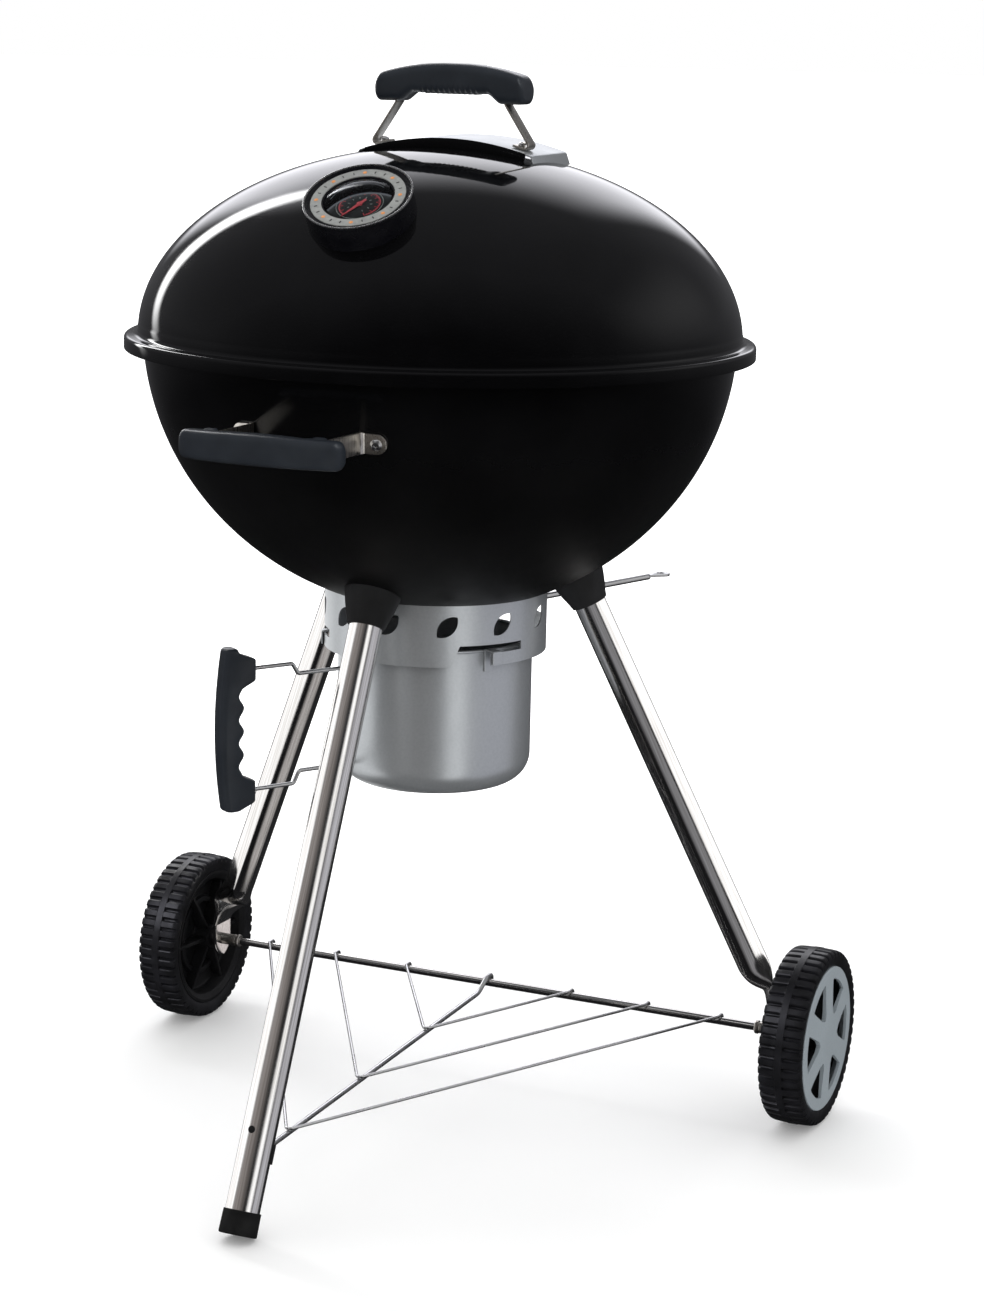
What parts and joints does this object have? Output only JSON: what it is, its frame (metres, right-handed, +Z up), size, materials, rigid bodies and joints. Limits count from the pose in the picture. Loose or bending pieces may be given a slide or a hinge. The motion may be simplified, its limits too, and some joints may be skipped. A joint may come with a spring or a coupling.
{
  "type": "kettle charcoal grill",
  "caption": "Round covered charcoal grill on three splayed tube legs, two of them on wheels, with a lift-off domed lid, gauge, ash pot and swinging damper lever.",
  "frame": {"origin": "on the floor, under the middle of the outline seen from above; the kettle axis stands 16 mm behind it", "axes": "+Z up; -Y is the front, where the single leg without a wheel stands; +X is the right-hand wheel when seen from the front"},
  "size_m": [0.746, 0.7729, 1.03],
  "materials": {
    "black_enamel": "glossy black porcelain enamel on steel",
    "socket_black": "matte black moulding",
    "polished_steel": "polished stainless tube",
    "steel_wire": "bright plated steel",
    "strap_steel": "brushed steel strip",
    "grip_plastic": "satin blue-grey moulding",
    "silver_paint": "satin silver-grey paint",
    "rubber_black": "matte black rubber",
    "tyre": "black ribbed tyre",
    "wheel_black": "black moulded wheel",
    "hubcap_silver": "silver-painted moulding",
    "gauge_black": "black moulding",
    "gauge_ring": "satin metal ring",
    "scale_grey": "pale grey printed ring",
    "dial_black": "black dial",
    "pointer_red": "red pointer",
    "gauge_glass": "clear domed glass"
  },
  "bodies": {
    "stand": {"ash_collar": "silver_paint", "axle": "steel_wire", "axle_caps": "steel_wire", "axle_sleeves": "steel_wire", "axle_washers": "steel_wire", "bowl": "black_enamel", "charcoal_grate": "steel_wire", "foot_cap": "rubber_black", "front_handle_grip": "grip_plastic", "front_handle_straps": "strap_steel", "front_leg": "polished_steel", "front_leg_socket": "socket_black", "grate_brackets": "steel_wire", "handle_screws": "steel_wire", "left_leg": "polished_steel", "left_leg_socket": "socket_black", "leg_plug": "rubber_black", "rack_centre_wire": "steel_wire", "rack_clip": "rubber_black", "rack_long_wire": "steel_wire", "rack_middle_wire": "steel_wire", "rack_short_wire": "steel_wire", "rear_handle_grip": "grip_plastic", "rear_handle_straps": "strap_steel", "right_leg": "polished_steel", "right_leg_socket": "socket_black"},
    "lid": {"lid": "black_enamel", "lid_vent_rivet": "steel_wire", "gauge_case": "gauge_black", "gauge_bezel": "gauge_ring", "gauge_scale_ring": "scale_grey", "gauge_dial": "dial_black", "gauge_glass": "gauge_glass", "gauge_stem": "steel_wire", "gauge_nut": "steel_wire", "heat_shield": "strap_steel", "lid_handle_straps": "strap_steel", "lid_handle_bolts": "steel_wire", "lid_handle_grip": "grip_plastic"},
    "lid_vent": {"lid_vent_disc": "silver_paint"},
    "gauge_pointer": {"gauge_pointer": "pointer_red"},
    "cooking_grate": {"cooking_grate": "steel_wire"},
    "ash_pot": {"ash_pot": "silver_paint", "pot_hooks": "silver_paint", "pot_handle_wire": "steel_wire", "pot_handle_grip": "grip_plastic"},
    "damper": {"damper_blades": "silver_paint", "damper_shaft": "steel_wire", "damper_lever": "steel_wire"},
    "left_wheel": {"left_tyre": "tyre", "left_wheel": "wheel_black", "left_hubcap": "hubcap_silver"},
    "right_wheel": {"right_tyre": "tyre", "right_wheel": "wheel_black", "right_hubcap": "hubcap_silver"}
  },
  "joints": [
    {"name": "lid_lift", "type": "slide", "parent": "stand", "child": "lid", "axis": [0, 0, 1], "range_m": [0, 0.35]},
    {"name": "lid_vent_turn", "type": "hinge", "parent": "lid", "child": "lid_vent", "pos_m": [0, 0.206, 0.90841], "axis": [0, 0.4805, 0.877], "range_deg": [0, 45]},
    {"name": "gauge_needle_turn", "type": "hinge", "parent": "lid", "child": "gauge_pointer", "pos_m": [0.01861, -0.19674, 0.91711], "axis": [0.0461, -0.5264, 0.849], "range_deg": [-240, 0]},
    {"name": "cooking_grate_lift", "type": "slide", "parent": "stand", "child": "cooking_grate", "axis": [0, 0, 1], "range_m": [0, 0.06]},
    {"name": "ash_pot_twist", "type": "hinge", "parent": "stand", "child": "ash_pot", "pos_m": [0, 0.016, 0.4], "axis": [0, 0, 1], "range_deg": [-15, 12]},
    {"name": "damper_lever_swing", "type": "hinge", "parent": "stand", "child": "damper", "pos_m": [0, 0.016, 0.51], "axis": [0, 0, 1], "range_deg": [-15, 45]},
    {"name": "left_wheel_spin", "type": "hinge", "parent": "stand", "child": "left_wheel", "pos_m": [-0.35, 0.1582, 0.0887], "axis": [1, 0, 0], "continuous": true},
    {"name": "right_wheel_spin", "type": "hinge", "parent": "stand", "child": "right_wheel", "pos_m": [0.35, 0.1582, 0.0887], "axis": [1, 0, 0], "continuous": true}
  ]
}
